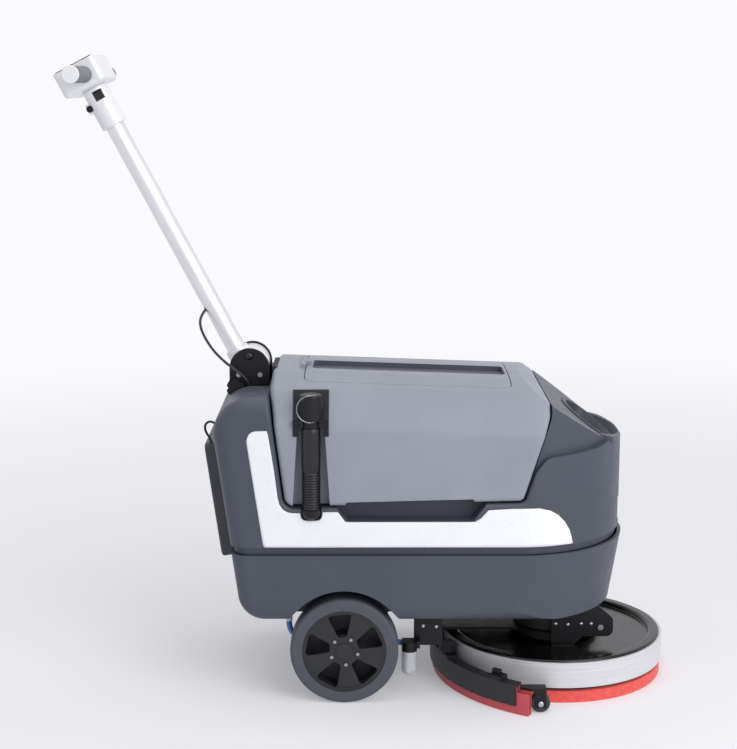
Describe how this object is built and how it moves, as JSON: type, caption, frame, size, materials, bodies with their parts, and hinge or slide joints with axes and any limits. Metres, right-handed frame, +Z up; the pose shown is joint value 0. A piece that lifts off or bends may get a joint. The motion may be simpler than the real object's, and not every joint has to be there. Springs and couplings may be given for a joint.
{
  "type": "walk-behind floor scrubber",
  "caption": "Walk-behind floor scrubber with a disc pad, curved squeegee, lift-out recovery tank with hinged lid, rear wheels and a folding handle.",
  "frame": {"origin": "on the floor, at the centre of the scrubbing pad's lower face", "axes": "+X forward, the way the machine is pushed, +Y to the machine's left, +Z up"},
  "size_m": [1.0319, 0.5008, 1.0644],
  "materials": {
    "body_plastic": "rotomoulded satin",
    "tank_plastic": "rotomoulded satin",
    "black_plastic": "moulded matt",
    "rim_plastic": "moulded satin",
    "clear_plastic": "moulded gloss",
    "white_plastic": "moulded gloss",
    "blue_hose": "smooth",
    "black_rubber": "matt",
    "tyre_rubber": "matt grey",
    "red_rubber": "matt",
    "red_pad": "fibre pad",
    "bright_steel": "brushed",
    "silver_paint": "silver paint",
    "silver_plastic": "silver paint",
    "black_paint": "powder coat",
    "alloy": "satin",
    "button_plastic": "moulded gloss",
    "gauge_plastic": "moulded gloss"
  },
  "bodies": {
    "chassis": {"main_body": "body_plastic", "lower_chassis": "body_plastic", "rear_axle": "bright_steel", "axle_brackets": "black_paint", "skirt_ring": "alloy", "deck_dish": "black_paint", "brush_motor": "black_paint", "deck_brackets": "black_paint", "chassis_bolts": "bright_steel", "hinge_bracket": "black_paint", "hinge_pin": "black_paint", "charger_box": "black_plastic", "battery_pack": "black_plastic", "hose_fitting": "white_plastic", "filter_bowl": "clear_plastic", "filter_head": "black_plastic", "control_cable": "black_rubber", "charger_cable": "black_rubber", "solution_hose": "blue_hose"},
    "strainer": {"filler_strainer": "black_plastic"},
    "tank": {"recovery_tank": "tank_plastic", "vacuum_gasket": "black_rubber", "drain_hose": "black_rubber", "drain_elbow": "black_plastic", "hose_clip": "black_plastic"},
    "lid": {"tank_lid": "tank_plastic", "lid_seal": "black_rubber", "lid_troughs": "black_plastic"},
    "drain_plug": {"drain_cap": "black_plastic"},
    "right_wheel": {"tyre_right": "tyre_rubber", "rim_right": "rim_plastic", "wheel_bolts_right": "bright_steel"},
    "left_wheel": {"tyre_left": "tyre_rubber", "rim_left": "rim_plastic", "wheel_bolts_left": "bright_steel"},
    "brush": {"scrub_pad": "red_pad", "pad_driver": "black_plastic"},
    "squeegee": {"rear_blade": "red_rubber", "front_blade": "red_rubber", "blade_holder": "black_paint", "swivel_yoke": "black_paint", "squeegee_knobs": "black_plastic", "squeegee_clips": "black_plastic", "wheel_forks": "black_paint"},
    "right_end_wheel": {"end_wheel_right": "black_rubber"},
    "left_end_wheel": {"end_wheel_left": "black_rubber"},
    "handle": {"handle_knuckle": "silver_paint", "column_tube": "bright_steel", "neck_clamp": "silver_paint", "clamp_bolt": "black_paint", "head_housing": "silver_plastic", "handle_bar": "silver_paint", "hand_grips": "black_rubber", "control_panel": "black_plastic", "battery_gauge": "gauge_plastic"},
    "clamp_knob": {"star_knob": "black_plastic"},
    "brush_switch": {"button_brush": "button_plastic"},
    "vacuum_switch": {"button_vacuum": "button_plastic"},
    "water_switch": {"button_water": "button_plastic"}
  },
  "joints": [
    {"name": "handle_fold", "type": "hinge", "parent": "chassis", "child": "handle", "pos_m": [-0.527, 0, 0.541], "axis": [0, -1, 0], "range_deg": [-72, 22], "deforming": ["control_cable"]},
    {"name": "clamp_knob_turn", "type": "hinge", "parent": "chassis", "child": "clamp_knob", "pos_m": [-0.55, -0.05, 0.5095], "axis": [0, -1, 0], "continuous": true},
    {"name": "right_wheel_spin", "type": "hinge", "parent": "chassis", "child": "right_wheel", "pos_m": [-0.365, -0.168, 0.09], "axis": [0, 1, 0], "continuous": true},
    {"name": "left_wheel_spin", "type": "hinge", "parent": "chassis", "child": "left_wheel", "pos_m": [-0.365, 0.168, 0.09], "axis": [0, 1, 0], "continuous": true},
    {"name": "brush_spin", "type": "hinge", "parent": "chassis", "child": "brush", "pos_m": [0, 0, 0.09], "axis": [0, 0, 1], "continuous": true},
    {"name": "squeegee_swivel", "type": "hinge", "parent": "chassis", "child": "squeegee", "pos_m": [0, 0, 0.078], "axis": [0, 0, 1], "range_deg": [-20, 20]},
    {"name": "right_end_wheel_spin", "type": "hinge", "parent": "squeegee", "child": "right_end_wheel", "pos_m": [-0.0421, -0.224, 0.016], "axis": [0, 1, 0], "continuous": true},
    {"name": "left_end_wheel_spin", "type": "hinge", "parent": "squeegee", "child": "left_end_wheel", "pos_m": [-0.0421, 0.224, 0.016], "axis": [0, 1, 0], "continuous": true},
    {"name": "tank_lift", "type": "slide", "parent": "chassis", "child": "tank", "axis": [0, 0, 1], "range_m": [0, 0.25]},
    {"name": "lid_hinge", "type": "hinge", "parent": "tank", "child": "lid", "pos_m": [-0.43544, 0, 0.54414], "axis": [0, -1, 0], "range_deg": [0, 85]},
    {"name": "drain_plug_pull", "type": "slide", "parent": "tank", "child": "drain_plug", "axis": [0, 0, 1], "range_m": [0, 0.03]},
    {"name": "strainer_lift", "type": "slide", "parent": "chassis", "child": "strainer", "axis": [0.5779, 0, 0.8161], "range_m": [0, 0.05]},
    {"name": "brush_button_press", "type": "slide", "parent": "handle", "child": "brush_switch", "axis": [0.4648, 0, -0.8854], "range_m": [0, 0.0025], "stiffness_N_per_m": 400},
    {"name": "vacuum_button_press", "type": "slide", "parent": "handle", "child": "vacuum_switch", "axis": [0.4648, 0, -0.8854], "range_m": [0, 0.0025], "stiffness_N_per_m": 400},
    {"name": "water_button_press", "type": "slide", "parent": "handle", "child": "water_switch", "axis": [0.4648, 0, -0.8854], "range_m": [0, 0.0025], "stiffness_N_per_m": 400}
  ]
}
